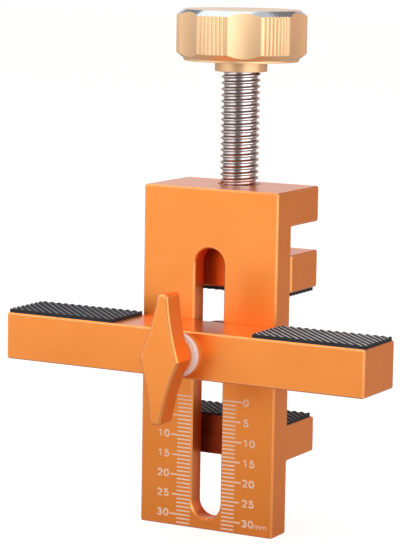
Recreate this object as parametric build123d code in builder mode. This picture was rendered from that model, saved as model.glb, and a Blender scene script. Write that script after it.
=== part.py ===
from build123d import *
from math import cos, radians, sin, sqrt
import os

os.makedirs("parts", exist_ok=True)

# Cabinet door mounting jig. Its two jaws clamp on a cabinet's face frame behind the plate,
# and the cross bar in front carries the door at the height read on the plate's scale.
# Millimetres: X across, Y to the back, Z up. The origin is the middle of the plate's foot.

# Plate with its top arm and fixed jaw, one length of aluminium profile
plate_width = 36.8
plate_thick = 7.4
plate_height = 84.5
reach = 14.6
arm_thick = 8.7
fixed_jaw_thick = 8.7
fixed_jaw_rise = 18.1
edge_break = 0.35
inside_radius = 0.5

# T-slot for the locking bolt, open at the plate's back
slot_width = 8.1
slot_rise = 2.7
slot_length = 67.2
front_web = 4.6
groove_width = 13.0
groove_overrun = 1.7
groove_corner = 2.0

# Rubber pads with slanting ribs
pad_thick = 0.95
rib_height = 0.4
rib_pitch = sqrt(2)
rib_foot = 1.1
rib_flank = 52
rib_slant = 45
pad_inset = 0.2

# Moving jaw, shown with its mouth part open
mouth_opening = 30.8
jaw_thick = 9.2
jaw_back_gap = 0.4

# Clamping screw, its neck in the moving jaw and the ring that holds the neck
screw_diameter = 10.0
screw_clearance = 0.05
thread_above_jaw = 43.5
thread_in_knob = 9.0
neck_diameter = 7.0
neck_clearance = 0.05
neck_below_bore = 1.6
neck_groove_diameter = 5.8
ring_outer_diameter = 10.4
ring_thick = 0.8
ring_play = 0.1
ring_mouth = 3.4
recess_diameter = 11.6
recess_depth = 2.6
screw_tip_break = 0.6

# Clamp knob, turned, with six scallops between ribbed lands
knob_diameter = 32.0
knob_height = 12.5
knob_hub_diameter = 12.9
knob_hub_height = 2.6
knob_lip_diameter = 28.4
knob_lip_height = 0.5
knob_lower_bevel = 1.45
knob_top_bevel_width = 1.76
knob_top_bevel_height = 1.35
scallop_count = 6
scallop_radius = 14.8
scallop_depth = 1.1
land_groove_count = 7
land_groove_pitch = 3.75
land_groove_depth = 0.28

# Cross bar
bar_length = 97.3
bar_depth = 16.4
bar_height = 11.5
bar_rise = 40.6
bar_gap = 0.05
bar_pad_length = 29.5

# Locking bolt, washer and wing knob
bolt_diameter = 6.0
bolt_bar_clearance = 0.1
bolt_wall_gap = 0.05
bolt_in_wing = 6.0
head_length = 10.4
head_crown = 1.4
head_groove_gap = 0.1
head_sink = 0.2
head_break = 0.3
washer_diameter = 10.8
washer_thick = 1.5
washer_clearance = 0.1
wing_hub_diameter = 9.1
wing_hub_length = 2.0
wing_thick = 6.3
wing_length = 31.4
wing_width = 10.6
wing_tip_width = 2.6
wing_tip_radius = 0.9
wing_sag = 0.55
wing_corner_radius = 0.8
wing_edge_radius = 0.6
wing_bore_clearance = 0.05
wing_bore_spare = 0.4
wing_lean = 3.0

# Places that follow from the sizes
plate_back = plate_thick / 2
plate_front = -plate_thick / 2
body_back = plate_back + reach
fixed_jaw_top = fixed_jaw_rise + fixed_jaw_thick
arm_bottom = plate_height - arm_thick
jaw_middle = plate_back + reach / 2
moving_jaw_bottom = fixed_jaw_top + pad_thick + mouth_opening + pad_thick
moving_jaw_top = moving_jaw_bottom + jaw_thick
moving_jaw_front = plate_back + jaw_back_gap
moving_jaw_depth = body_back - moving_jaw_front
screw_radius = screw_diameter / 2
recess_top = moving_jaw_bottom + recess_depth
ring_top = recess_top - ring_play
knob_bottom = moving_jaw_top + thread_above_jaw
slot_middle = slot_rise + slot_length / 2
groove_length = slot_length + 2 * groove_overrun
groove_floor = plate_front + front_web
bolt_radius = bolt_diameter / 2
bolt_x = slot_width / 2 - bolt_radius - bolt_wall_gap
bolt_z = bar_rise + bar_height / 2
bar_back = plate_front - bar_gap
bar_front = bar_back - bar_depth
washer_front = bar_front - washer_thick
wing_back = washer_front - wing_hub_length
bolt_end = washer_front - bolt_in_wing
head_width = groove_width - 2 * (bolt_x + head_groove_gap)
head_side = head_length - 2 * head_crown
head_thick = plate_back - groove_floor - head_sink


def face_forward(y):
    """Plane at depth y that faces the front, its middle on the bolt's axis."""
    return Plane(origin=(bolt_x, y, bolt_z), x_dir=(1, 0, 0), z_dir=(0, -1, 0))


def ribbed_pad(length, width, seat):
    """Rubber pad on a seat plane: a thin sheet with slanting ribs, trimmed to its outline."""
    rib_run = length + width
    rib_rows = int(rib_run / rib_pitch) + 2
    along = seat.x_dir * cos(radians(rib_slant)) - seat.y_dir * sin(radians(rib_slant))
    section = Plane(
        origin=seat.origin + seat.z_dir * (pad_thick - rib_height),
        x_dir=along.cross(seat.z_dir) * -1,
        z_dir=along,
    )
    with BuildPart() as pad:
        with BuildSketch(seat):
            Rectangle(length, width)
        extrude(amount=pad_thick - rib_height)
        with BuildSketch(section):
            with GridLocations(rib_pitch, 0, rib_rows, 1):
                Trapezoid(rib_foot, rib_height, rib_flank, align=(Align.CENTER, Align.MIN))
        extrude(amount=rib_run, both=True)
        with BuildSketch(seat):
            Rectangle(length, width)
        extrude(amount=pad_thick, mode=Mode.INTERSECT)
    return pad


# Body: the side outline runs the full width, then the slot and its groove are milled in
with BuildPart() as body:
    with BuildSketch(Plane.YZ) as outline:
        with BuildLine():
            Polyline(
                (plate_front, 0),
                (plate_back, 0),
                (plate_back, fixed_jaw_rise),
                (body_back, fixed_jaw_rise),
                (body_back, fixed_jaw_top),
                (plate_back, fixed_jaw_top),
                (plate_back, arm_bottom),
                (body_back, arm_bottom),
                (body_back, plate_height),
                (plate_front, plate_height),
                close=True,
            )
        make_face()
        inside_corners = outline.vertices().filter_by_position(Axis.X, plate_back - 0.01, plate_back + 0.01)
        fillet(inside_corners.sort_by(Axis.Y)[1:], radius=inside_radius)
    extrude(amount=plate_width / 2, both=True)
    side_rims = body.faces().filter_by(Axis.X).edges()
    width_edges = body.edges().filter_by(Axis.X)
    outer_edges = width_edges.filter_by_position(Axis.Y, body_back - 0.01, body_back + 0.01)
    outer_edges += width_edges.filter_by_position(Axis.Y, plate_front - 0.01, plate_front + 0.01)
    outer_edges += width_edges.filter_by_position(Axis.Z, -0.01, 0.01).sort_by(Axis.Y)[-1:]
    chamfer(side_rims + outer_edges, length=edge_break)
    with BuildSketch(Plane.XZ.offset(-plate_front)):
        with Locations((0, slot_middle)):
            SlotOverall(slot_length, slot_width, rotation=90)
    extrude(amount=-front_web, mode=Mode.SUBTRACT)
    slot_rim = body.faces().sort_by(Axis.Y)[0].inner_wires()[0].edges()
    chamfer(slot_rim, length=edge_break)
    with BuildSketch(Plane.XZ.offset(-groove_floor)):
        with Locations((0, slot_middle)):
            RectangleRounded(groove_width, groove_length, groove_corner)
    extrude(amount=groove_floor - plate_back, mode=Mode.SUBTRACT)
    with Locations((0, jaw_middle, plate_height)):
        Hole(radius=screw_radius + screw_clearance, depth=arm_thick)
    thread_mouth = body.faces().sort_by(Axis.Z)[-1].inner_wires()[0].edges()
    chamfer(thread_mouth, length=edge_break)
body.part.label = "body"
export_step(body.part, "parts/body.step")

# Moving jaw: a block with a bore for the screw's neck and a recess below for the ring
with BuildPart() as moving_jaw:
    with BuildSketch(Plane.XY.offset(moving_jaw_bottom)):
        with Locations((0, moving_jaw_front + moving_jaw_depth / 2)):
            Rectangle(plate_width, moving_jaw_depth)
    extrude(amount=jaw_thick)
    chamfer(moving_jaw.edges(), length=edge_break)
    with Locations((0, jaw_middle, moving_jaw_top)):
        Hole(radius=neck_diameter / 2 + neck_clearance, depth=jaw_thick)
    with BuildSketch(Plane.XY.offset(moving_jaw_bottom)):
        with Locations((0, jaw_middle)):
            Circle(recess_diameter / 2)
    extrude(amount=recess_depth, mode=Mode.SUBTRACT)
moving_jaw.part.label = "moving_jaw"
export_step(moving_jaw.part, "parts/moving_jaw.step")

# The two pads of the jaws face each other across the mouth
jaw_pad_length = plate_width - 2 * (edge_break + pad_inset)
fixed_pad_depth = reach - inside_radius - edge_break - 2 * pad_inset
fixed_pad_y = body_back - edge_break - pad_inset - fixed_pad_depth / 2
moving_pad_depth = moving_jaw_depth - 2 * (edge_break + pad_inset)
moving_pad_y = body_back - edge_break - pad_inset - moving_pad_depth / 2

fixed_seat = Plane(origin=(0, fixed_pad_y, fixed_jaw_top), x_dir=(1, 0, 0), z_dir=(0, 0, 1))
lower_jaw_pad = ribbed_pad(jaw_pad_length, fixed_pad_depth, fixed_seat)
lower_jaw_pad.part.label = "lower_jaw_pad"
export_step(lower_jaw_pad.part, "parts/lower_jaw_pad.step")

moving_seat = Plane(origin=(0, moving_pad_y, moving_jaw_bottom), x_dir=(1, 0, 0), z_dir=(0, 0, -1))
moving_jaw_pad = ribbed_pad(jaw_pad_length, moving_pad_depth, moving_seat)
moving_jaw_pad.part.label = "moving_jaw_pad"
export_step(moving_jaw_pad.part, "parts/moving_jaw_pad.step")

# Clamping screw: thread at its full diameter, a shoulder on the jaw and a grooved neck
with BuildPart() as clamp_screw:
    with BuildSketch(Plane.XY.offset(moving_jaw_top)):
        with Locations((0, jaw_middle)):
            Circle(screw_radius)
    extrude(amount=thread_above_jaw + thread_in_knob)
    chamfer(clamp_screw.edges().sort_by(Axis.Z)[-1], length=screw_tip_break)
    with BuildSketch(Plane.XY.offset(moving_jaw_top)):
        with Locations((0, jaw_middle)):
            Circle(neck_diameter / 2)
    extrude(amount=-(jaw_thick - recess_depth + neck_below_bore))
    chamfer(clamp_screw.edges().sort_by(Axis.Z)[0], length=edge_break)
    with BuildSketch(Plane.XY.offset(ring_top)):
        with Locations((0, jaw_middle)):
            Circle(neck_diameter / 2 + neck_clearance)
            Circle(neck_groove_diameter / 2, mode=Mode.SUBTRACT)
    extrude(amount=-ring_thick, mode=Mode.SUBTRACT)
clamp_screw.part.label = "clamp_screw"
export_step(clamp_screw.part, "parts/clamp_screw.step")

# Open retaining ring, pushed on from the side
with BuildPart() as retaining_ring:
    with BuildSketch(Plane.XY.offset(ring_top)):
        with Locations((0, jaw_middle)):
            Circle(ring_outer_diameter / 2)
            Circle(neck_groove_diameter / 2, mode=Mode.SUBTRACT)
            Rectangle(
                ring_mouth,
                ring_outer_diameter,
                align=(Align.CENTER, Align.MIN),
                mode=Mode.SUBTRACT,
            )
    extrude(amount=-ring_thick)
retaining_ring.part.label = "retaining_ring"
export_step(retaining_ring.part, "parts/retaining_ring.step")

# Clamp knob: turned from bar, then scalloped and grooved down its side
knob_axis = Axis((0, jaw_middle, 0), (0, 0, 1))
knob_base = Plane(origin=(0, jaw_middle, knob_bottom), z_dir=(0, 0, 1))
knob_whole = knob_hub_height + knob_height
with BuildPart() as clamp_knob:
    with BuildSketch(Plane(origin=knob_base.origin, x_dir=(1, 0, 0), z_dir=(0, -1, 0))):
        with BuildLine():
            Polyline(
                (0, 0),
                (knob_hub_diameter / 2, 0),
                (knob_hub_diameter / 2, knob_hub_height),
                (knob_lip_diameter / 2, knob_hub_height),
                (knob_lip_diameter / 2, knob_hub_height + knob_lip_height),
                (knob_diameter / 2, knob_hub_height + knob_lip_height + knob_lower_bevel),
                (knob_diameter / 2, knob_whole - knob_top_bevel_height),
                (knob_diameter / 2 - knob_top_bevel_width, knob_whole),
                (0, knob_whole),
                close=True,
            )
        make_face()
    revolve(axis=knob_axis)
    with BuildSketch(knob_base):
        with PolarLocations(knob_diameter / 2 - scallop_depth + scallop_radius, scallop_count):
            Circle(scallop_radius)
    extrude(amount=knob_whole, mode=Mode.SUBTRACT)
    land_step = 360 / scallop_count
    groove_span = land_groove_pitch * (land_groove_count - 1)
    groove_side = 2 * land_groove_depth
    groove_middle = knob_diameter / 2 - land_groove_depth + groove_side / sqrt(2)
    with BuildSketch(knob_base):
        for land in range(scallop_count):
            first_angle = land_step * (land + 0.5) - groove_span / 2
            with PolarLocations(groove_middle, land_groove_count, first_angle, groove_span, endpoint=True):
                Rectangle(groove_side, groove_side, rotation=45)
    extrude(amount=knob_whole, mode=Mode.SUBTRACT)
    with BuildSketch(knob_base):
        Circle(screw_radius + screw_clearance)
    extrude(amount=thread_in_knob + screw_tip_break, mode=Mode.SUBTRACT)
clamp_knob.part.label = "clamp_knob"
export_step(clamp_knob.part, "parts/clamp_knob.step")

# Cross bar, bored through for the locking bolt
with BuildPart() as support_bar:
    with BuildSketch(face_forward(bar_back)):
        Rectangle(bar_length, bar_height)
    extrude(amount=bar_depth)
    chamfer(support_bar.edges(), length=edge_break)
    with BuildSketch(face_forward(bar_back)):
        Circle(bolt_radius + bolt_bar_clearance)
    extrude(amount=bar_depth, mode=Mode.SUBTRACT)
support_bar.part.label = "support_bar"
export_step(support_bar.part, "parts/support_bar.step")

# One pad at each end of the bar's top
bar_pad_depth = bar_depth - 2 * (edge_break + pad_inset)
bar_pad_offset = bar_length / 2 - edge_break / 2 - bar_pad_length / 2
bar_pad_y = bar_front + bar_depth / 2
bar_top = bar_rise + bar_height
for side, label in ((-1, "bar_pad_left"), (1, "bar_pad_right")):
    bar_seat = Plane(
        origin=(bolt_x + side * bar_pad_offset, bar_pad_y, bar_top),
        x_dir=(1, 0, 0),
        z_dir=(0, 0, 1),
    )
    bar_pad = ribbed_pad(bar_pad_length, bar_pad_depth, bar_seat)
    bar_pad.part.label = label
    export_step(bar_pad.part, f"parts/{label}.step")

# Locking bolt: a flat-sided head that cannot turn in the groove, and a plain shank
with BuildPart() as locking_bolt:
    with BuildSketch(face_forward(groove_floor)):
        with BuildLine():
            crown = ThreePointArc(
                (-head_width / 2, head_side / 2),
                (0, head_length / 2),
                (head_width / 2, head_side / 2),
            )
            Line(crown @ 1, (head_width / 2, -head_side / 2))
            ThreePointArc(
                (head_width / 2, -head_side / 2),
                (0, -head_length / 2),
                (-head_width / 2, -head_side / 2),
            )
            Line((-head_width / 2, -head_side / 2), crown @ 0)
        make_face()
    extrude(amount=-head_thick)
    chamfer(locking_bolt.faces().sort_by(Axis.Y)[-1].edges(), length=head_break)
    with BuildSketch(face_forward(groove_floor)):
        Circle(bolt_radius)
    extrude(amount=groove_floor - bolt_end)
    chamfer(locking_bolt.edges().sort_by(Axis.Y)[0], length=screw_tip_break)
locking_bolt.part.label = "locking_bolt"
export_step(locking_bolt.part, "parts/locking_bolt.step")

# Washer between the bar and the wing knob
with BuildPart() as nylon_washer:
    with BuildSketch(face_forward(bar_front)):
        Circle(washer_diameter / 2)
        Circle(bolt_radius + washer_clearance, mode=Mode.SUBTRACT)
    extrude(amount=washer_thick)
nylon_washer.part.label = "nylon_washer"
export_step(nylon_washer.part, "parts/nylon_washer.step")

# Wing knob: a long diamond with hollowed sides on a short round hub, tapped from behind
wing_plane = Plane(
    origin=(bolt_x, wing_back, bolt_z),
    x_dir=(cos(radians(wing_lean)), 0, -sin(radians(wing_lean))),
    z_dir=(0, -1, 0),
)
with BuildPart() as wing_knob:
    with BuildSketch(wing_plane) as diamond:
        with BuildLine():
            flank = SagittaArc((wing_width / 2, 0), (wing_tip_width / 2, wing_length / 2), wing_sag)
            Line(flank @ 1, (0, wing_length / 2))
            mirror(about=Plane.YZ)
            mirror(about=Plane.XZ)
        make_face()
        wing_corners = diamond.vertices().group_by(Axis.Y)
        fillet(wing_corners[0] + wing_corners[-1], radius=wing_tip_radius)
        fillet(diamond.vertices().filter_by_position(Axis.Y, -0.01, 0.01), radius=wing_corner_radius)
    extrude(amount=wing_thick)
    fillet(wing_knob.faces().filter_by(Axis.Y).edges(), radius=wing_edge_radius)
    with BuildSketch(face_forward(washer_front)):
        Circle(wing_hub_diameter / 2)
    extrude(amount=wing_hub_length + wing_edge_radius)
    with BuildSketch(face_forward(washer_front)):
        Circle(bolt_radius + wing_bore_clearance)
    extrude(amount=washer_front - bolt_end + wing_bore_spare, mode=Mode.SUBTRACT)
wing_knob.part.label = "wing_knob"
export_step(wing_knob.part, "parts/wing_knob.step")
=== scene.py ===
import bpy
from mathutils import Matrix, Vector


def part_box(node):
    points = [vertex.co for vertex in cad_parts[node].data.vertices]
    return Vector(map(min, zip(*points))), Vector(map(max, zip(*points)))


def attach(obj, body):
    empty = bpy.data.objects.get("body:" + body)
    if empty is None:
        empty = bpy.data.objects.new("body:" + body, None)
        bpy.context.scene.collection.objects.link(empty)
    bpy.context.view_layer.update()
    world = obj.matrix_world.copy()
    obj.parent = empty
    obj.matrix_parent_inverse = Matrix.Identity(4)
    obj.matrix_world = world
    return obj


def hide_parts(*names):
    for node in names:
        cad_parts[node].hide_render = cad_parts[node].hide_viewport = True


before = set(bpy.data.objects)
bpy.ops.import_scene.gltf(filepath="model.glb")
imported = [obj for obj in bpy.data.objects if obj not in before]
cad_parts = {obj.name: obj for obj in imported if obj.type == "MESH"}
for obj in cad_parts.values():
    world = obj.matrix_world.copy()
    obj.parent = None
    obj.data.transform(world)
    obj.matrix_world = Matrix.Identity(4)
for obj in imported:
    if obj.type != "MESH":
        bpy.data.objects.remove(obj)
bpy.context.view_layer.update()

import math

import bmesh
import bpy
from mathutils import Matrix, Vector

# Body. One length of aluminium profile makes the plate, the top arm and the fixed jaw. Its slot
# is milled, then it is blasted to an even satin and anodised orange. Its edges carry a paler
# painted highlight, and painted shade browns the inside of the slot.

mm = 0.001


def add_node(tree, kind, values=None, **settings):
    """A new node with its settings. values gives its inputs, each a socket or a constant."""
    node = tree.nodes.new(kind)
    for name, value in settings.items():
        setattr(node, name, value)
    for name, value in (values or {}).items():
        if isinstance(value, bpy.types.NodeSocket):
            tree.links.new(value, node.inputs[name])
        else:
            node.inputs[name].default_value = value
    return node


def step(tree, operation, *terms):
    """The outcome of one step of arithmetic on sockets or numbers."""
    return add_node(tree, "ShaderNodeMath", dict(enumerate(terms)), operation=operation).outputs[0]


def ramp(tree, value, start, end, low=0.0, high=1.0, shape="SMOOTHSTEP"):
    """value taken from the range start to end into the range low to high, and held at its ends."""
    values = {"Value": value, "From Min": start, "From Max": end, "To Min": low, "To Max": high}
    return add_node(tree, "ShaderNodeMapRange", values, interpolation_type=shape).outputs["Result"]


def split(tree, spot):
    """The X, Y and Z of a vector."""
    return add_node(tree, "ShaderNodeSeparateXYZ", {"Vector": spot}).outputs


def dot_product(tree, first, second):
    """The cosine between two unit vectors."""
    values = {0: first, 1: second}
    return add_node(tree, "ShaderNodeVectorMath", values, operation="DOT_PRODUCT").outputs["Value"]


def blend_colours(tree, share, first, second):
    """The first colour where share is 0, the second where it is 1."""
    share_place, first_place, second_place, result_place = 0, 6, 7, 2
    values = {share_place: share, first_place: first, second_place: second}
    return add_node(tree, "ShaderNodeMix", values, data_type="RGBA").outputs[result_place]


def own_place(tree):
    """The place on the piece, in metres."""
    return add_node(tree, "ShaderNodeTexCoord").outputs["Object"]


def noise(tree, where, per_metre, detail=2.0, roughness=0.5):
    """Procedural noise about 0.5, of the given scale per metre."""
    values = {"Vector": where, "Scale": per_metre, "Detail": detail, "Roughness": roughness}
    return add_node(tree, "ShaderNodeTexNoise", values).outputs["Fac"]


def patches(tree, per_metre, low, high, start=0.3, end=0.65):
    """Soft patches between two values. A patch begins where the noise is start, to fill at end."""
    return ramp(tree, noise(tree, own_place(tree), per_metre, detail=3.0), start, end, low, high)


def new_group(name, kind, inputs, outputs):
    """A node group with the named inputs and outputs, and the sockets that they have inside it."""
    tree = bpy.data.node_groups.new(name, kind)
    for direction, sockets in (("INPUT", inputs), ("OUTPUT", outputs)):
        for label, value_type, *value in sockets:
            socket = tree.interface.new_socket(
                label, in_out=direction, socket_type="NodeSocket" + value_type
            )
            if value:
                socket.default_value = value[0]
    return tree, add_node(tree, "NodeGroupInput").outputs, add_node(tree, "NodeGroupOutput").inputs


def blasted_skin():
    """Shader group: the fine pits of a blasted face and the faint clouding of its colour."""
    tree, given, result = new_group(
        "Blasted Skin",
        "ShaderNodeTree",
        [
            ("Colour", "Color", (0.8, 0.8, 0.8, 1.0)),
            ("Clouded Colour", "Color", (0.7, 0.7, 0.7, 1.0)),
            ("Roughness", "Float", 0.4),
            ("Roughness Spread", "Float", 0.08),
            ("Pits per Metre", "Float", 7000.0),
            ("Clouds per Metre", "Float", 60.0),
        ],
        [("Colour", "Color"), ("Roughness", "Float"), ("Height", "Float")],
    )
    where = own_place(tree)
    pits = noise(tree, where, given["Pits per Metre"], detail=2.0, roughness=0.6)
    clouds = noise(tree, where, given["Clouds per Metre"], detail=4.0, roughness=0.6)
    clear, clouded = 0.35, 0.7
    share = ramp(tree, clouds, clear, clouded)
    colour = blend_colours(tree, share, given["Colour"], given["Clouded Colour"])
    mottle = step(tree, "MULTIPLY_ADD", step(tree, "ADD", pits, clouds), 0.5, -0.5)
    roughness = step(tree, "MULTIPLY_ADD", mottle, given["Roughness Spread"], given["Roughness"])
    tree.links.new(colour, result["Colour"])
    tree.links.new(roughness, result["Roughness"])
    tree.links.new(pits, result["Height"])
    return tree


def rubbed_edges():
    """Shader group: a mask of the narrow band along edges, broken into patches, for a painted
    highlight.
    """
    tree, given, result = new_group(
        "Painted Edge Highlight",
        "ShaderNodeTree",
        [("Width", "Float", 0.3 * mm), ("Amount", "Float", 0.5)],
        [("Mask", "Float")],
    )
    rounded = add_node(tree, "ShaderNodeBevel", {"Radius": given["Width"]}, samples=6)
    flat = add_node(tree, "ShaderNodeNewGeometry").outputs["Normal"]
    agreement = dot_product(tree, rounded.outputs["Normal"], flat)
    on_face, on_edge = 0.992, 0.90
    band = ramp(tree, agreement, on_face, on_edge)
    edge_highlight = step(tree, "MULTIPLY", band, patches(tree, 700.0, 0.45, 1.0))
    tree.links.new(step(tree, "MULTIPLY", edge_highlight, given["Amount"]), result["Mask"])
    return tree


skin_group = blasted_skin()
highlight_group = rubbed_edges()


def new_material(name, **constants):
    """A material with its constants on the shader's own sockets, its node tree and its shader."""
    material = bpy.data.materials.new(name)
    material.use_nodes = True
    shader = material.node_tree.nodes["Principled BSDF"]
    for label, value in constants.items():
        shader.inputs[label.replace("_", " ")].default_value = value
    return material, material.node_tree, shader


def placed(tree, group, **values):
    """A shader group placed in a material, with its own values."""
    named = {label.replace("_", " "): value for label, value in values.items()}
    return add_node(tree, "ShaderNodeGroup", named, node_tree=group).outputs


def surface(tree, shader, colour, roughness, height, depth, strength=1.0):
    """Feeds a shader's colour and roughness, and its normal from grain of the given depth."""
    tree.links.new(colour, shader.inputs["Base Color"])
    tree.links.new(roughness, shader.inputs["Roughness"])
    values = {"Height": height, "Distance": depth, "Strength": strength}
    bump = add_node(tree, "ShaderNodeBump", values)
    tree.links.new(bump.outputs["Normal"], shader.inputs["Normal"])


def anodised(
    name,
    colour,
    clouded,
    edge_highlight,
    grazing,
    roughness,
    pit_depth,
    metallic,
    edge_amount=0.85,
    edge_width=0.45 * mm,
):
    """Blasted and anodised aluminium: dyed metal under clear oxide, with a painted highlight on
    edges.
    """
    material, tree, shader = new_material(
        name,
        Metallic=metallic,
        Specular_Tint=grazing,
        Coat_Weight=1.0,
        Coat_Roughness=0.22,
        Coat_IOR=1.3,
    )
    skin = placed(tree, skin_group, Colour=colour, Clouded_Colour=clouded, Roughness=roughness)
    highlight_mask = placed(tree, highlight_group, Amount=edge_amount, Width=edge_width)["Mask"]
    # Painted highlight: the edges are blended towards a paler colour, and made smoother.
    paler = blend_colours(tree, highlight_mask, skin["Colour"], edge_highlight)
    edge_polish = 0.35
    polish = step(tree, "MULTIPLY_ADD", highlight_mask, -edge_polish, 1.0)
    smoother = step(tree, "MULTIPLY", skin["Roughness"], polish)
    surface(tree, shader, paler, smoother, skin["Height"], pit_depth, strength=0.4)
    return material


def dress(node, material):
    """Gives a CAD node its finish."""
    for material_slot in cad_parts[node].material_slots:
        material_slot.material = material


# The edge colour is a painted highlight along the edges.
orange_finish = {
    "colour": (0.965, 0.312, 0.049, 1.0),
    "clouded": (0.935, 0.292, 0.042, 1.0),
    "edge_highlight": (1.0, 0.70, 0.42, 1.0),
    "grazing": (1.0, 0.60, 0.54, 1.0),
    "roughness": 0.38,
    "pit_depth": 0.010 * mm,
    "metallic": 0.82,
}

groove_half_width = 6.6 * mm
groove_shade_brown = (0.72, 0.125, 0.034, 1.0)


def oil(material, low, high, start, full, bottom, deepest):
    """Painted shade in the groove: browns a metal between two heights, more the deeper it lies.

    Along Y, the painted shade starts to show at start and is full at full. Its colour is
    groove_shade_brown there and deepest at bottom, behind which the metal is left unshaded.
    """
    tree = material.node_tree
    shader = tree.nodes["Principled BSDF"]
    base = shader.inputs["Base Color"]
    x, y, z = split(tree, own_place(tree))
    share = patches(tree, 350.0, 0.88, 0.97, start=0.25, end=0.6)
    side_fade, back_fade, end_fade = 0.2 * mm, 0.1 * mm, 0.3 * mm
    for value, clean, covered in (
        (step(tree, "ABSOLUTE", x), groove_half_width + side_fade, groove_half_width),
        (y, start, full),
        (y, bottom + 2 * back_fade, bottom + back_fade),
        (z, low - end_fade, low),
        (z, high + end_fade, high),
    ):
        share = step(tree, "MULTIPLY", share, ramp(tree, value, clean, covered))
    brown = blend_colours(tree, ramp(tree, y, full, bottom), groove_shade_brown, deepest)
    tree.links.new(blend_colours(tree, share, base.links[0].from_socket, brown), base)
    tree.links.new(step(tree, "SUBTRACT", 1.0, share), shader.inputs["Coat Weight"])


slotted = anodised("Slotted Orange Anodising", **orange_finish)
# Painted shade: the slot's walls and the groove are browned.
oil(
    slotted,
    low=0.9 * mm,
    high=71.7 * mm,
    start=-3.2 * mm,
    full=0.9 * mm,
    bottom=3.7 * mm,
    deepest=(0.24, 0.038, 0.012, 1.0),
)
dress("body", slotted)

# Scale. Lines and numerals are burnt through the dye with a laser, on both sides of the slot: a
# line each millimetre, longer at fives and tens, with a numeral each five. They show as paler
# metal.

plate_front = -3.7 * mm
scale_top = 32.9 * mm
scale_lines = 33
line_pitch = 1.0 * mm
last_numeral = 30
numeral_step = 5
mark_sink = 0.03 * mm
mark_rise = 0.012 * mm
mark_depth = mark_sink + mark_rise
mark_middle = plate_front + (mark_sink - mark_rise) / 2

laser_mark, tree, shader = new_material("Laser Mark", Metallic=0.6)
skin = placed(
    tree,
    skin_group,
    Colour=(1.0, 0.76, 0.60, 1.0),
    Clouded_Colour=(1.0, 0.68, 0.50, 1.0),
    Roughness=0.55,
    Clouds_per_Metre=400.0,
)
surface(tree, shader, skin["Colour"], skin["Roughness"], skin["Height"], 0.008 * mm)


def vector(tree, **parts):
    """A vector from its X, Y and Z, each 0 where it isn't given."""
    return add_node(tree, "ShaderNodeCombineXYZ", parts).outputs[0]


def end_tree(tree, result, geometry, material):
    """Ends a geometry tree: its instances are made real and given their material."""
    real = add_node(tree, "GeometryNodeRealizeInstances", {"Geometry": geometry}).outputs[0]
    values = {"Geometry": real, "Material": material}
    dressed = add_node(tree, "GeometryNodeSetMaterial", values)
    tree.links.new(dressed.outputs[0], result["Geometry"])


def graduation():
    """Geometry tree: a column of engraved lines from its top down, longer at fives and at tens."""
    tree, given, result = new_group(
        "Graduation",
        "GeometryNodeTree",
        [
            ("Lines", "Int", scale_lines),
            ("Pitch", "Float", line_pitch),
            ("Near End", "Float", 4.5 * mm),
            ("Short End", "Float", 8.0 * mm),
            ("Five End", "Float", 9.3 * mm),
            ("Ten End", "Float", 9.7 * mm),
            ("Line Width", "Float", 0.39 * mm),
            ("Line Depth", "Float", mark_depth),
            ("Material", "Material"),
        ],
        [("Geometry", "Geometry")],
    )
    drop = vector(tree, Z=step(tree, "MULTIPLY", given["Pitch"], -1.0))
    column = add_node(tree, "GeometryNodeMeshLine", {"Count": given["Lines"], "Offset": drop})
    order = add_node(tree, "GeometryNodeInputIndex").outputs[0]
    far_end = given["Short End"]
    for label, lines_between in (("Five End", 5.0), ("Ten End", 10.0)):
        is_here = step(tree, "LESS_THAN", step(tree, "MODULO", order, lines_between), 0.5)
        reach = step(tree, "SUBTRACT", given[label], far_end)
        far_end = step(tree, "MULTIPLY_ADD", is_here, reach, far_end)
    length = step(tree, "ABSOLUTE", step(tree, "SUBTRACT", far_end, given["Near End"]))
    middle = step(tree, "MULTIPLY", step(tree, "ADD", far_end, given["Near End"]), 0.5)
    values = {"Geometry": column.outputs[0], "Offset": vector(tree, X=middle)}
    points = add_node(tree, "GeometryNodeSetPosition", values).outputs[0]
    size = vector(tree, X=length, Y=given["Line Depth"], Z=given["Line Width"])
    unit = add_node(tree, "GeometryNodeMeshCube", {"Size": (1.0, 1.0, 1.0)}).outputs[0]
    values = {"Points": points, "Instance": unit, "Scale": size}
    lines = add_node(tree, "GeometryNodeInstanceOnPoints", values)
    end_tree(tree, result, lines.outputs[0], given["Material"])
    return tree


def show(name, mesh):
    """An object at the origin that shows a mesh."""
    piece = bpy.data.objects.new(name, mesh)
    bpy.context.scene.collection.objects.link(piece)
    return piece


def plain_mesh(carrier):
    """The mesh of an object as its modifiers or its curve leave it."""
    graph = bpy.context.evaluated_depsgraph_get()
    return bpy.data.meshes.new_from_object(carrier.evaluated_get(graph), depsgraph=graph)


def grow(name, tree, values, blank=None):
    """A plain mesh grown by a geometry tree, whose inputs are set by their names."""
    carrier = show(name, blank or bpy.data.meshes.new(name))
    modifier = carrier.modifiers.new(tree.name, "NODES")
    modifier.node_group = tree
    for item in tree.interface.items_tree:
        if item.item_type == "SOCKET" and item.in_out == "INPUT" and item.name in values:
            modifier[item.identifier] = values[item.name]
    mesh = plain_mesh(carrier)
    carrier.modifiers.remove(modifier)
    bpy.data.objects.remove(carrier)
    mesh.name = name
    return mesh


# Where the lines start, and where short ones, fives and tens end, from the plate's middle
line_ends = {
    "left": (-4.4 * mm, -8.15 * mm, -9.5 * mm, -9.95 * mm),
    "right": (4.4 * mm, 7.95 * mm, 9.3 * mm, 9.7 * mm),
}
graduation_tree = graduation()
for side, ends in line_ends.items():
    values = dict(zip(("Near End", "Short End", "Five End", "Ten End"), ends))
    mesh = grow("graduation_" + side, graduation_tree, {**values, "Material": laser_mark})
    mesh.transform(Matrix.Translation((0.0, mark_middle, scale_top)))
    lines = show("graduation_" + side, mesh)
    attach(lines, "plate")


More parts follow.
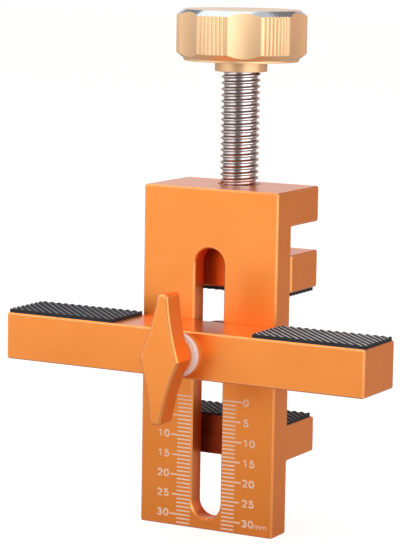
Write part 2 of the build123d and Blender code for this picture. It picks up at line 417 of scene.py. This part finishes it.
def arc(x, y, across, up, start, end, parts=10):
    """Points of an ellipse round (x, y) between two angles in degrees."""
    points = []
    for part in range(parts + 1):
        angle = math.radians(start + (end - start) * part / parts)
        points.append((x + across * math.cos(angle), y + up * math.sin(angle)))
    return points


# The figures' strokes, in a box one wide and one high. One that comes back to its start is closed
closed_gap = 1e-6
strokes = {
    "0": [arc(0.5, 0.5, 0.5, 0.5, 90, 450, parts=24)],
    "1": [[(0.16, 0.76), (0.62, 1.0), (0.62, 0.0)]],
    "2": [arc(0.5, 0.70, 0.47, 0.30, 165, -32) + [(0.0, 0.0), (1.0, 0.0)]],
    "3": [arc(0.47, 0.745, 0.44, 0.255, 155, -85) + arc(0.47, 0.27, 0.53, 0.27, 85, -155)],
    "5": [[(0.94, 1.0), (0.20, 1.0), (0.10, 0.47)] + arc(0.47, 0.33, 0.53, 0.33, 118, -155)],
    "m": [
        [(0.0, 0.0), (0.0, 1.0)],
        arc(0.25, 0.68, 0.25, 0.32, 180, 0) + [(0.5, 0.0)],
        arc(0.75, 0.68, 0.25, 0.32, 180, 0) + [(1.0, 0.0)],
    ],
}


def engrave(text, left, foot, width, height, stroke, gap):
    """Figures on the plate's front, from a left edge and a foot, each of the given size."""
    line = bpy.data.curves.new(text, "CURVE")
    line.dimensions = "3D"
    line.bevel_depth = stroke / 2
    line.bevel_resolution = 2
    line.use_fill_caps = True
    for order, letter in enumerate(text):
        for path in strokes[letter]:
            spline = line.splines.new("POLY")
            spline.use_cyclic_u = math.dist(path[0], path[-1]) < closed_gap
            path = path[:-1] if spline.use_cyclic_u else path
            spline.points.add(len(path) - 1)
            for point, (across, up) in zip(spline.points, path):
                x = left + order * (width + gap) + stroke / 2 + across * (width - stroke)
                z = foot + stroke / 2 + up * (height - stroke)
                point.co = (x, 0.0, z, 1.0)
    carrier = show(text, line)
    mesh = plain_mesh(carrier)
    bpy.data.objects.remove(carrier)
    mesh.transform(Matrix.Diagonal((1.0, mark_depth / stroke, 1.0, 1.0)))
    mesh.transform(Matrix.Translation((0.0, mark_middle, 0.0)))
    mesh.materials.clear()
    mesh.materials.append(laser_mark)
    return mesh


def join_meshes(name, meshes):
    """One mesh made of several."""
    work = bmesh.new()
    for mesh in meshes:
        work.from_mesh(mesh)
    joined = bpy.data.meshes.new(name)
    work.to_mesh(joined)
    work.free()
    joined.materials.append(meshes[0].materials[0])
    return joined


figure_width, figure_height = 1.68 * mm, 2.1 * mm
figure_stroke, figure_gap = 0.52 * mm, 0.15 * mm
left_numerals, right_numerals = -10.3 * mm, 9.95 * mm
left_rise = 0.12 * mm
unit_width, unit_height, unit_stroke = 1.6 * mm, 1.05 * mm, 0.26 * mm
figures = []
for value in range(0, last_numeral + 1, numeral_step):
    text = str(value)
    foot = scale_top - value * line_pitch - figure_height / 2
    size = (figure_width, figure_height, figure_stroke, figure_gap)
    figures.append(engrave(text, right_numerals, foot, *size))
    if value:
        length = len(text) * (figure_width + figure_gap) - figure_gap
        figures.append(engrave(text, left_numerals - length, foot + left_rise, *size))
unit_start = right_numerals + len(str(last_numeral)) * (figure_width + figure_gap)
figures.append(engrave("mm", unit_start, foot, unit_width, unit_height, unit_stroke, figure_gap))
numerals = show("numerals", join_meshes("numerals", figures))
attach(numerals, "plate")

# Pad of the fixed jaw. Black rubber with slanting ribs is moulded as one sheet, cut to size and
# glued on the jaw, so that the clamp grips the face frame without a mark. The crests of the ribs
# carry a paler painted highlight.


def mesh_place(tree):
    """The X, Y and Z of each point of the mesh that a geometry tree works on."""
    return split(tree, add_node(tree, "GeometryNodeInputPosition").outputs[0])


def store(tree, mesh, name, value):
    """The mesh with an attribute that its material reads."""
    values = {"Geometry": mesh, "Name": name, "Value": value}
    stored = add_node(tree, "GeometryNodeStoreNamedAttribute", values, data_type="FLOAT")
    return stored.outputs[0]


def ribbed_rubber():
    """Geometry tree: a ribbed rubber sheet about the Z axis, its foot at height zero."""
    tree, given, result = new_group(
        "Ribbed Rubber",
        "GeometryNodeTree",
        [
            ("Length", "Float", 29.5 * mm),
            ("Width", "Float", 15.3 * mm),
            ("Sheet Thickness", "Float", 0.68 * mm),
            ("Rib Height", "Float", 0.24 * mm),
            ("Rib Pitch", "Float", math.sqrt(2) * mm),
            ("Rib Crest", "Float", 0.30 * mm),
            ("Rib Foot", "Float", 1.2 * mm),
            ("Rib Slant", "Float", math.radians(45)),
            ("Corner Radius", "Float", 0.7 * mm),
            ("Steps per Rib", "Float", 12.0),
            ("Material", "Material"),
        ],
        [("Geometry", "Geometry")],
    )

    # A block as long each way as the pad's two sides together, with ribs across it
    run = step(tree, "ADD", given["Length"], given["Width"])
    ribs = step(tree, "DIVIDE", run, given["Rib Pitch"])
    steps = step(tree, "MULTIPLY", ribs, given["Steps per Rib"])
    thickness = step(tree, "MULTIPLY", given["Sheet Thickness"], 2.0)
    values = {"Size": vector(tree, X=run, Y=run, Z=thickness), "Vertices X": steps}
    block = add_node(tree, "GeometryNodeMeshCube", values).outputs["Mesh"]
    along, _, height = mesh_place(tree)
    from_crest = step(tree, "PINGPONG", along, step(tree, "MULTIPLY", given["Rib Pitch"], 0.5))
    crest_half = step(tree, "MULTIPLY", given["Rib Crest"], 0.5)
    foot_half = step(tree, "MULTIPLY", given["Rib Foot"], 0.5)
    lift = ramp(tree, from_crest, crest_half, foot_half, given["Rib Height"], 0.0)
    on_top = step(tree, "GREATER_THAN", height, 0.0)
    values = {"Geometry": block, "Selection": on_top, "Offset": vector(tree, Z=lift)}
    ribbed = add_node(tree, "GeometryNodeSetPosition", values).outputs[0]
    values = {"Geometry": ribbed, "Rotation": vector(tree, Z=given["Rib Slant"])}
    slanted = add_node(tree, "GeometryNodeTransform", values).outputs[0]

    # The pad is cut from it with an upright knife of the pad's outline
    values = {"Width": given["Length"], "Height": given["Width"]}
    quad = "GeometryNodeCurvePrimitiveQuadrilateral"
    outline = add_node(tree, quad, values, mode="RECTANGLE").outputs[0]
    values = {"Curve": outline, "Radius": given["Corner Radius"], "Count": 5}
    rounded = add_node(tree, "GeometryNodeFilletCurve", values, mode="POLY").outputs[0]
    above = vector(tree, Z=step(tree, "MULTIPLY", thickness, 2.0))
    values = {"Start": (0.0, 0.0, 0.0), "End": above}
    upright = add_node(tree, "GeometryNodeCurvePrimitiveLine", values).outputs[0]
    values = {"Curve": upright, "Profile Curve": rounded, "Fill Caps": True}
    knife = add_node(tree, "GeometryNodeCurveToMesh", values).outputs[0]
    cut = add_node(tree, "GeometryNodeMeshBoolean", operation="INTERSECT", solver="EXACT")
    tree.links.new(slanted, cut.inputs["Mesh"])
    tree.links.new(knife, cut.inputs["Mesh"])

    height = mesh_place(tree)["Z"]
    crest_height = step(tree, "ADD", given["Sheet Thickness"], given["Rib Height"])
    rise = ramp(tree, height, given["Sheet Thickness"], crest_height, shape="LINEAR")
    marked = store(tree, cut.outputs["Mesh"], "rib_rise", rise)
    end_tree(tree, result, marked, given["Material"])
    return tree


ribbed_tree = ribbed_rubber()
# Painted highlight: the ribs' crests are blended towards a pale grey.
crest_highlight = (0.60, 0.585, 0.60, 1.0)
highlight_start, highlight_full = 0.62, 0.98        # shares of a rib's height
rubber, tree, shader = new_material("Black Rubber", Metallic=0.0, Specular_IOR_Level=0.05)
skin = placed(
    tree,
    skin_group,
    Colour=(0.036, 0.038, 0.045, 1.0),
    Clouded_Colour=(0.048, 0.051, 0.060, 1.0),
    Roughness=0.75,
    Roughness_Spread=0.2,
    Pits_per_Metre=3500.0,
    Clouds_per_Metre=260.0,
)

# Painted light: the crest highlight is strongest on the bar's right pad and fainter on the others
aside = split(tree, own_place(tree))["X"]
brighter_from, brighter_beyond, highlight_elsewhere = 17 * mm, 24 * mm, 0.38
crest_light = ramp(tree, aside, brighter_from, brighter_beyond, highlight_elsewhere, 1.0)
crest_light = step(tree, "MULTIPLY", crest_light, patches(tree, 900.0, 0.55, 1.0))
rise = add_node(tree, "ShaderNodeAttribute", attribute_name="rib_rise").outputs["Fac"]
crest = step(tree, "MULTIPLY", ramp(tree, rise, highlight_start, highlight_full), crest_light)
colour = blend_colours(tree, crest, skin["Colour"], crest_highlight)
surface(tree, shader, colour, skin["Roughness"], skin["Height"], 0.02 * mm, strength=0.6)


def smooth(mesh, crease_degrees=35.0):
    """Smooth shading, with the edges that are sharper than the given angle kept sharp."""
    mesh.shade_smooth()
    mesh.set_sharp_from_angle(angle=math.radians(crease_degrees))


def lay_pad(node, body, facing_down=False):
    """A ribbed pad in place of a CAD node, of its length and width and on the same seat."""
    low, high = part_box(node)
    seat_height = high[2] if facing_down else low[2]
    seat = Vector(((low[0] + high[0]) / 2, (low[1] + high[1]) / 2, seat_height))
    sizes = {"Length": high[0] - low[0], "Width": high[1] - low[1], "Material": rubber}
    mesh = grow(node + "_rubber", ribbed_tree, sizes)
    smooth(mesh)
    if facing_down:
        mesh.transform(Matrix.Rotation(math.pi, 4, "X"))
    mesh.transform(Matrix.Translation(seat))
    pad = show(node + "_rubber", mesh)
    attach(pad, body)
    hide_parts(node)


lay_pad("lower_jaw_pad", "plate")

# Moving jaw. A sawn and milled block of the same aluminium, with its own pad glued underneath.
# It is bored for the neck of the clamping screw and slides behind the plate. Where it shows in
# the slot it is browned with painted shade.

sliding = anodised("Sliding Orange Anodising", **orange_finish)
# Painted shade: the jaw's face is browned where it shows in the slot.
oil(
    sliding,
    low=40.0 * mm,
    high=90.0 * mm,
    start=3.0 * mm,
    full=3.5 * mm,
    bottom=4.15 * mm,
    deepest=(0.85, 0.14, 0.016, 1.0),
)
dress("moving_jaw", sliding)
lay_pad("moving_jaw_pad", "jaw", facing_down=True)

# Clamping screw. Bright steel with a rolled M10 x 1.5 thread up to its shoulder, below it a
# turned neck, grooved for the retaining ring. The neck turns in the moving jaw and the thread in
# the arm.

screw_axis = Vector((0.0, 11.0 * mm, 0.0))
shoulder = 68.7 * mm
thread_length = 52.5 * mm
thread_pitch = 1.5 * mm
whole_turn = 2 * math.pi


def rounded_outline(corners, steps=4):
    """Outline points in metres from (radius, height, rounding) corners in millimetres."""
    points = []
    for place, (radius, height, rounding) in enumerate(corners):
        corner = Vector((radius, height)) * mm
        if not rounding:
            points.append(corner)
            continue
        before = Vector(corners[place - 1][:2]) * mm - corner
        after = Vector(corners[(place + 1) % len(corners)][:2]) * mm - corner
        cut = rounding * mm / math.tan(before.angle(after) / 2)
        start = corner + before.normalized() * cut
        end = corner + after.normalized() * cut
        for part in range(steps + 1):
            share = part / steps
            points.append(start.lerp(corner, share).lerp(corner.lerp(end, share), share))
    return points


def turned(name, outline, segments):
    """A mesh turned about the Z axis from an outline that starts and ends on the axis, upwards."""
    mesh = bpy.data.meshes.new(name)
    work = bmesh.new()
    rings = []
    for radius, height in outline:
        angles = [whole_turn * place / segments for place in range(segments if radius else 1)]
        spots = [(radius * math.cos(angle), radius * math.sin(angle), height) for angle in angles]
        rings.append([work.verts.new(spot) for spot in spots])
    for lower, upper in zip(rings, rings[1:]):
        for place in range(segments):
            following = (place + 1) % segments
            corners = [lower[place % len(lower)], lower[following % len(lower)]]
            corners += [upper[following % len(upper)], upper[place % len(upper)]]
            work.faces.new(list(dict.fromkeys(corners)))
    work.to_mesh(mesh)
    work.free()
    return mesh


def rolled_thread():
    """Geometry tree: a right-hand thread about the Z axis from height zero, joined to its blank."""
    tree, given, result = new_group(
        "Rolled Thread",
        "GeometryNodeTree",
        [
            ("Blank", "Geometry"),
            ("Length", "Float", thread_length),
            ("Pitch", "Float", thread_pitch),
            ("Turns", "Int", 36),
            ("Crest Radius", "Float", 4.82 * mm),
            ("Root Radius", "Float", 4.09 * mm),
            ("Steps per Turn", "Int", 56),
            ("Steps per Pitch", "Int", 16),
            ("Material", "Material"),
        ],
        [("Geometry", "Geometry")],
    )

    # A strip one pitch wide is wound up, with a turn to spare at each end
    turns = step(tree, "ADD", given["Turns"], 2.0)
    around = step(tree, "MULTIPLY_ADD", turns, given["Steps per Turn"], 1.0)
    across = step(tree, "ADD", given["Steps per Pitch"], 1.0)
    values = {"Size X": turns, "Size Y": 1.0, "Vertices X": around, "Vertices Y": across}
    strip = add_node(tree, "GeometryNodeMeshGrid", values).outputs["Mesh"]
    along, sideways, _ = mesh_place(tree)
    turn = step(tree, "MULTIPLY_ADD", given["Turns"], 0.5, along)
    share = step(tree, "ADD", sideways, 0.5)
    rise = step(tree, "MULTIPLY", step(tree, "ADD", turn, share), given["Pitch"])
    height = step(tree, "MINIMUM", step(tree, "MAXIMUM", rise, 0.0), given["Length"])

    # Its middle is the crest. The thread runs out at 45 degrees at both ends
    crest, root = given["Crest Radius"], given["Root Radius"]
    from_crest = step(tree, "ABSOLUTE", step(tree, "MULTIPLY", sideways, 2.0))
    crest_share, root_share = 0.125, 0.75
    flank = ramp(tree, from_crest, crest_share, root_share, crest, root, "LINEAR")
    to_end = step(tree, "MINIMUM", height, step(tree, "SUBTRACT", given["Length"], height))
    broken = step(tree, "MINIMUM", flank, step(tree, "ADD", root, to_end))
    outside = step(tree, "ABSOLUTE", step(tree, "SUBTRACT", rise, height))
    rounding_error, weld = 0.001 * mm, 0.003 * mm
    radius = step(tree, "MULTIPLY", broken, step(tree, "LESS_THAN", outside, rounding_error))
    angle = step(tree, "MULTIPLY", turn, whole_turn)
    depth = ramp(tree, radius, crest, root, shape="LINEAR")
    spot = vector(
        tree,
        X=step(tree, "MULTIPLY", radius, step(tree, "COSINE", angle)),
        Y=step(tree, "MULTIPLY", radius, step(tree, "SINE", angle)),
        Z=height,
    )
    values = {"Geometry": store(tree, strip, "thread_depth", depth), "Position": spot}
    wound = add_node(tree, "GeometryNodeSetPosition", values).outputs[0]
    values = {"Geometry": wound, "Distance": weld}
    closed = add_node(tree, "GeometryNodeMergeByDistance", values).outputs[0]
    joined = add_node(tree, "GeometryNodeJoinGeometry")
    tree.links.new(closed, joined.inputs[0])
    tree.links.new(given["Blank"], joined.inputs[0])
    end_tree(tree, result, joined.outputs[0], given["Material"])
    return tree


def from_axis(tree, x, y):
    """The distance from the Z axis."""
    square = step(tree, "MULTIPLY_ADD", x, x, step(tree, "MULTIPLY", y, y))
    return step(tree, "SQRT", square)


def turned_rings():
    """Shader group: fine rings round the Z axis, as a turning tool leaves them."""
    tree, given, result = new_group(
        "Turned Rings",
        "ShaderNodeTree",
        [("Vector", "Vector", (0.0, 0.0, 0.0)), ("Rings per Metre", "Float", 9000.0)],
        [("Height", "Float")],
    )
    x, y, z = split(tree, given["Vector"])
    across = step(tree, "MULTIPLY", from_axis(tree, x, y), given["Rings per Metre"])
    along = step(tree, "MULTIPLY", z, given["Rings per Metre"])
    rings = noise(tree, vector(tree, X=across, Z=along), 1.0, detail=3.0)
    tree.links.new(rings, result["Height"])
    return tree


ring_group = turned_rings()


def tool_marks(tree, **values):
    """The rings that turning left on a piece of the clamping screw's axis."""
    centre = {"Vector": own_place(tree), "Location": tuple(-screw_axis)}
    centred = add_node(tree, "ShaderNodeMapping", centre).outputs["Vector"]
    return placed(tree, ring_group, Vector=centred, **values)["Height"]


# Colour of the painted shade in the thread's grooves.
thread_shade_colour = (0.40, 0.33, 0.315, 1.0)
steel, tree, shader = new_material("Bright Steel", Metallic=1.0)
skin = placed(
    tree,
    skin_group,
    Colour=(0.85, 0.785, 0.79, 1.0),
    Clouded_Colour=(0.76, 0.70, 0.70, 1.0),
    Roughness=0.15,
    Roughness_Spread=0.12,
    Pits_per_Metre=2200.0,
    Clouds_per_Metre=300.0,
)

# Painted shade darkens the thread's flanks, and a quarter as much the root. Depth is 1 at the root
flank_top, flank_foot, root_shade = 0.3, 0.8, 0.25
depth = add_node(tree, "ShaderNodeAttribute", attribute_name="thread_depth").outputs["Fac"]
below_crest = ramp(tree, depth, 0.0, flank_top)
above_root = ramp(tree, depth, 1.0, flank_foot, root_shade, 1.0)
shaded_flanks = step(tree, "MULTIPLY", below_crest, above_root)
colour = blend_colours(tree, shaded_flanks, skin["Colour"], thread_shade_colour)
surface(tree, shader, colour, skin["Roughness"], tool_marks(tree), 0.006 * mm, strength=0.5)

neck_outline = rounded_outline(
    [
        (0.0, -8.2, 0),
        (3.5, -8.2, 0.3),
        (3.5, -7.5, 0),
        (2.9, -7.5, 0),
        (2.9, -6.7, 0),
        (3.5, -6.7, 0),
        (3.5, 0.1, 0),
        (0.0, 0.1, 0),
    ]
)
neck = turned("neck", neck_outline, segments=48)
mesh = grow("screw_thread", rolled_thread(), {"Material": steel}, blank=neck)
smooth(mesh, crease_degrees=25.0)
mesh.transform(Matrix.Translation(screw_axis + Vector((0.0, 0.0, shoulder))))
screw = show("screw_thread", mesh)
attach(screw, "screw")
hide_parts("clamp_screw")
dress("retaining_ring", steel)

# Clamp knob. Turned from bar and blasted, then six scallops are milled down its side and the
# lands between them ribbed for the fingers. It is anodised champagne, and last its top bevel is
# cut with a diamond tool, which leaves bare bright metal. The knob is screwed on the thread.

# Its edges get a faint painted highlight.
champagne = anodised(
    "Champagne Anodising",
    colour=(0.98, 0.645, 0.355, 1.0),
    clouded=(0.95, 0.605, 0.315, 1.0),
    edge_highlight=(0.98, 0.80, 0.58, 1.0),
    grazing=(1.0, 0.93, 0.88, 1.0),
    roughness=0.42,
    pit_depth=0.006 * mm,
    metallic=0.76,
    edge_amount=0.35,
)
bright_cut, tree, shader = new_material("Bright Cut", Metallic=1.0)
skin = placed(
    tree,
    skin_group,
    Colour=(0.60, 0.66, 0.73, 1.0),
    Clouded_Colour=(0.54, 0.60, 0.67, 1.0),
    Roughness=0.12,
    Roughness_Spread=0.05,
)
rings = tool_marks(tree, Rings_per_Metre=12000.0)
surface(tree, shader, skin["Colour"], skin["Roughness"], rings, 0.002 * mm, strength=0.4)

# Radius and height of the bevels' corners, in millimetres
lower_bevel_foot, side_foot = (14.2, 3.1), (16.0, 4.55)
side_top, top_bevel_end = (16.0, 13.75), (14.24, 15.1)
knob_outline = rounded_outline(
    [
        (0.0, 9.6, 0),
        (5.0, 9.6, 0),
        (5.0, 0.4, 0),
        (5.35, 0.0, 0),
        (6.45, 0.0, 0.25),
        (6.45, 2.6, 0),
        (14.2, 2.6, 0.12),
        (*lower_bevel_foot, 0),
        (*side_foot, 0.2),
        (*side_top, 0.06),
        (*top_bevel_end, 0.06),
        (0.0, 15.1, 0),
    ]
)


def slope(inner, outer):
    """How far a bevel rises or falls for each millimetre outwards."""
    return abs((outer[1] - inner[1]) / (outer[0] - inner[0]))


def scalloped_knob():
    """Geometry tree: pulls the side of a turned blank in by its scallops and its ribs."""
    tree, given, result = new_group(
        "Scalloped Knob",
        "GeometryNodeTree",
        [
            ("Blank", "Geometry"),
            ("Knob Radius", "Float", side_top[0] * mm),
            ("Side From", "Float", 15.5 * mm),
            ("Middle Height", "Float", 9.0 * mm),
            ("Top Slope", "Float", slope(top_bevel_end, side_top)),
            ("Lower Slope", "Float", slope(lower_bevel_foot, side_foot)),
            ("Scallops", "Int", 6),
            ("Scallop Radius", "Float", 14.8 * mm),
            ("Scallop Depth", "Float", 1.1 * mm),
            ("Ribbed Half Angle", "Float", math.radians(13.1)),
            ("Rib Angle", "Float", math.radians(3.75)),
            ("Groove Depth", "Float", 0.28 * mm),
            ("Material", "Material"),
            ("Bevel Material", "Material"),
        ],
        [("Geometry", "Geometry")],
    )
    across, along, height = mesh_place(tree)
    radius = from_axis(tree, across, along)
    half_step = step(tree, "DIVIDE", math.pi, given["Scallops"])
    from_scallop = step(tree, "PINGPONG", step(tree, "ARCTAN2", along, across), half_step)

    # The scallop is a round bite whose middle lies outside the knob
    far = step(tree, "SUBTRACT", given["Knob Radius"], given["Scallop Depth"])
    far = step(tree, "ADD", far, given["Scallop Radius"])
    ahead = step(tree, "MULTIPLY", far, step(tree, "COSINE", from_scallop))
    aside = step(tree, "MULTIPLY", far, step(tree, "SINE", from_scallop))
    reach_square = step(tree, "POWER", given["Scallop Radius"], 2.0)
    chord = step(tree, "SUBTRACT", reach_square, step(tree, "POWER", aside, 2.0))
    chord = step(tree, "SQRT", step(tree, "MAXIMUM", chord, 0.0))
    bitten = step(tree, "SUBTRACT", ahead, chord)
    bite = step(tree, "MAXIMUM", step(tree, "SUBTRACT", given["Knob Radius"], bitten), 0.0)

    # Grooves at even angles on each side of the land's middle
    groove_share = 0.30
    from_land = step(tree, "SUBTRACT", half_step, from_scallop)
    half_rib = step(tree, "MULTIPLY", given["Rib Angle"], 0.5)
    from_groove = step(tree, "PINGPONG", from_land, half_rib)
    groove_half = step(tree, "MULTIPLY", given["Rib Angle"], groove_share)
    groove = ramp(tree, from_groove, 0.0, groove_half, given["Groove Depth"], 0.0, "LINEAR")
    ribbed = step(tree, "LESS_THAN", from_land, given["Ribbed Half Angle"])
    pull = step(tree, "ADD", bite, step(tree, "MULTIPLY", groove, ribbed))

    # The corners follow the bevels as they move in
    above = step(tree, "GREATER_THAN", height, given["Middle Height"])
    below = step(tree, "SUBTRACT", 1.0, above)
    climb = step(tree, "MULTIPLY", above, given["Top Slope"])
    climb = step(tree, "SUBTRACT", climb, step(tree, "MULTIPLY", below, given["Lower Slope"]))
    inward = step(tree, "DIVIDE", step(tree, "MULTIPLY", pull, -1.0), radius)
    offset = vector(
        tree,
        X=step(tree, "MULTIPLY", across, inward),
        Y=step(tree, "MULTIPLY", along, inward),
        Z=step(tree, "MULTIPLY", pull, climb),
    )
    at_side = step(tree, "GREATER_THAN", radius, given["Side From"])
    values = {"Geometry": given["Blank"], "Selection": at_side, "Offset": offset}
    cut = add_node(tree, "GeometryNodeSetPosition", values).outputs[0]
    real = add_node(tree, "GeometryNodeRealizeInstances", {"Geometry": cut}).outputs[0]
    values = {"Geometry": real, "Material": given["Material"]}
    dyed = add_node(tree, "GeometryNodeSetMaterial", values).outputs[0]
    bared = {"Name": "bright_cut"}
    bared = add_node(tree, "GeometryNodeInputNamedAttribute", bared, data_type="BOOLEAN")
    values = {
        "Geometry": dyed,
        "Selection": bared.outputs["Attribute"],
        "Material": given["Bevel Material"],
    }
    finished = add_node(tree, "GeometryNodeSetMaterial", values)
    tree.links.new(finished.outputs[0], result["Geometry"])
    return tree


knob_base = 112.2 * mm
blank = turned("knob_blank", knob_outline, segments=768)

# The faces of the top bevel are the bare ones
bevel_low, bevel_high, bevel_inside = 13.8 * mm, 15.06 * mm, 14.3 * mm
marked = blank.attributes.new("bright_cut", "BOOLEAN", "FACE")
for face in blank.polygons:
    out = math.hypot(face.center.x, face.center.y)
    marked.data[face.index].value = bevel_low < face.center.z < bevel_high and out > bevel_inside
materials = {"Material": champagne, "Bevel Material": bright_cut}
mesh = grow("scalloped_knob", scalloped_knob(), materials, blank=blank)
smooth(mesh, crease_degrees=20.0)
mesh.transform(Matrix.Translation(screw_axis + Vector((0.0, 0.0, knob_base))))
knob = show("scalloped_knob", mesh)
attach(knob, "screw")
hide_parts("clamp_knob")

# Cross bar. Square-cut aluminium bar, anodised like the body, with a ribbed rubber pad glued on
# the top of each end. The door rests on the pads.

dress("support_bar", anodised("Orange Anodising", **orange_finish))
for node in ("bar_pad_left", "bar_pad_right"):
    lay_pad(node, "bar")

# Locking bolt, washer and wing knob. The steel bolt's head slides in the plate's groove, and the
# knob, cast and anodised like the body, draws it tight against a white nylon washer. The knob's
# edges carry a wider and paler painted highlight.

dress("locking_bolt", steel)
# Painted highlight: the wing's edges are paler and the band wider than on the body.
wing_highlight_finish = {**orange_finish, "edge_highlight": (1.0, 0.86, 0.58, 1.0)}
wing_highlighted = anodised(
    "Highlighted Orange Anodising", **wing_highlight_finish, edge_amount=1.0, edge_width=1.05 * mm
)
dress("wing_knob", wing_highlighted)
nylon, tree, shader = new_material("White Nylon", Metallic=0.0)
skin = placed(
    tree,
    skin_group,
    Colour=(1.0, 0.95, 0.96, 1.0),
    Clouded_Colour=(0.98, 0.92, 0.93, 1.0),
    Roughness=0.42,
    Pits_per_Metre=2500.0,
    Clouds_per_Metre=300.0,
)
surface(
    tree, shader, skin["Colour"], skin["Roughness"], skin["Height"], 0.005 * mm, strength=0.5
)
dress("nylon_washer", nylon)

# Studio. A floor of slightly warm paper runs out into a white background. Two soft lamps stand at
# the front left, a broad one at the right and one near the camera, and one hangs above. The light
# all round is even, but for three dimmer places and a warm one at the back right.

floor_half = 3.0
floor_front = -0.18
paper_colour = (0.47, 0.42, 0.395, 1.0)
paper_glow = 0.76
paper_mirrored = 0.14
pure_white = (1.0, 1.0, 1.0, 1.0)

corners = [(-floor_half, floor_front, 0), (floor_half, floor_front, 0)]
corners += [(floor_half, floor_half, 0), (-floor_half, floor_half, 0)]
floor_mesh = bpy.data.meshes.new("floor")
floor_mesh.from_pydata(corners, [], [(0, 1, 2, 3)])
floor = show("floor", floor_mesh)


def ray_kinds(tree):
    """1 for a ray that shows the background white, and 1 for one that metal mirrors."""
    rays = add_node(tree, "ShaderNodeLightPath").outputs
    white = step(tree, "MAXIMUM", rays["Is Camera Ray"], rays["Is Transmission Ray"])
    return white, rays["Is Glossy Ray"]


paper, tree, shader = new_material("White Paper", Base_Color=paper_colour, Roughness=0.9)
glow = add_node(tree, "ShaderNodeEmission", {"Color": pure_white, "Strength": paper_glow})
lit = add_node(tree, "ShaderNodeAddShader", {0: shader.outputs[0], 1: glow.outputs[0]})
white, mirrored = ray_kinds(tree)
shown = step(tree, "MAXIMUM", white, step(tree, "MULTIPLY", mirrored, paper_mirrored))
values = {0: shown, 1: shader.outputs[0], 2: lit.outputs[0]}
choice = add_node(tree, "ShaderNodeMixShader", values)
tree.links.new(choice.outputs[0], tree.nodes["Material Output"].inputs["Surface"])
floor_mesh.materials.append(paper)

studio_light = 0.56
mirrored_light = 0.26        # added where metal mirrors the studio
warm_colour = (1.0, 0.68, 0.60, 1.0)
warm_loss = 0.13

world = bpy.data.worlds.new("studio")
world.use_nodes = True
bpy.context.scene.world = world
tree = world.node_tree
light = tree.nodes["Background"]


def towards(tree, toward, direction, inner, outer):
    """1 near a direction and 0 away from it, changing between the two angles in degrees."""
    agreement = dot_product(tree, toward, tuple(Vector(direction).normalized()))
    outer_edge, inner_edge = math.cos(math.radians(outer)), math.cos(math.radians(inner))
    return ramp(tree, agreement, outer_edge, inner_edge)


toward = add_node(tree, "ShaderNodeTexCoord").outputs["Generated"]
white, mirrored = ray_kinds(tree)
soft = step(tree, "MULTIPLY_ADD", mirrored, mirrored_light, studio_light)
for direction, inner, outer, left_over in (
    ((0.21, -0.935, -0.287), 17.0, 25.0, 0.27),
    ((0.116, 0.747, 0.65), 14.0, 21.0, 0.42),
    ((-0.738, 0.469, 0.484), 13.0, 20.0, 0.42),
):
    dimmer = towards(tree, toward, direction, inner, outer)
    soft = step(tree, "MULTIPLY", soft, step(tree, "MULTIPLY_ADD", dimmer, left_over - 1.0, 1.0))
warm = towards(tree, toward, (0.55, 0.83, -0.1), 25.0, 75.0)
soft = step(tree, "MULTIPLY", soft, step(tree, "MULTIPLY_ADD", warm, -warm_loss, 1.0))
tree.links.new(step(tree, "MAXIMUM", soft, white), light.inputs["Strength"])
warm = step(tree, "MULTIPLY", warm, step(tree, "SUBTRACT", 1.0, white))
tree.links.new(blend_colours(tree, warm, pure_white, warm_colour), light.inputs["Color"])


def softbox(name, place, target, width, height, radiance):
    """A soft rectangular lamp at a place, turned to a target."""
    lamp = bpy.data.lights.new(name, "AREA")
    lamp.shape = "RECTANGLE"
    lamp.size = width
    lamp.size_y = height
    lamp.energy = math.pi * width * height * radiance
    holder = bpy.data.objects.new(name, lamp)
    bpy.context.scene.collection.objects.link(holder)
    holder.location = place
    holder.rotation_euler = (Vector(target) - Vector(place)).to_track_quat("-Z", "Y").to_euler()
    holder.visible_camera = False


middle = (0.0, -0.005, 0.065)
softbox("key", (-0.45, -0.60, 0.65), middle, 0.6, 0.6, 1.45)
softbox("fill", (-0.475, -0.735, 0.07), middle, 0.75, 0.6, 0.45)
softbox("right", (0.49, -0.12, 0.14), middle, 0.66, 0.36, 1.45)
softbox("front", (0.42, -0.73, 0.32), middle, 0.5, 0.26, 1.28)
softbox("overhead", (-0.27, -0.05, 0.85), middle, 0.8, 0.7, 0.7)

# Camera. It stands in front of the jig and to its right, a little above the cross bar, far enough
# off that its lens is a long one. It is held slightly skew, as the picture is.

camera_place = Vector((283.97, -527.91, 148.26)) * mm
camera_right = (0.87629, 0.48153, 0.01593)
camera_up = (-0.08114, 0.11490, 0.99006)
camera_back = (0.4749, -0.8689, 0.1398)

camera_data = bpy.data.cameras.new("camera")
camera_data.lens = 164.05
camera_data.sensor_width = 36.0
camera_data.clip_start = 0.05
camera_data.clip_end = 20.0
camera = bpy.data.objects.new("camera", camera_data)
bpy.context.scene.collection.objects.link(camera)
aim = Matrix((camera_right, camera_up, camera_back)).transposed()
camera.matrix_world = Matrix.Translation(camera_place) @ aim.to_4x4()
bpy.context.scene.camera = camera
bpy.context.scene.view_settings.view_transform = "Standard"
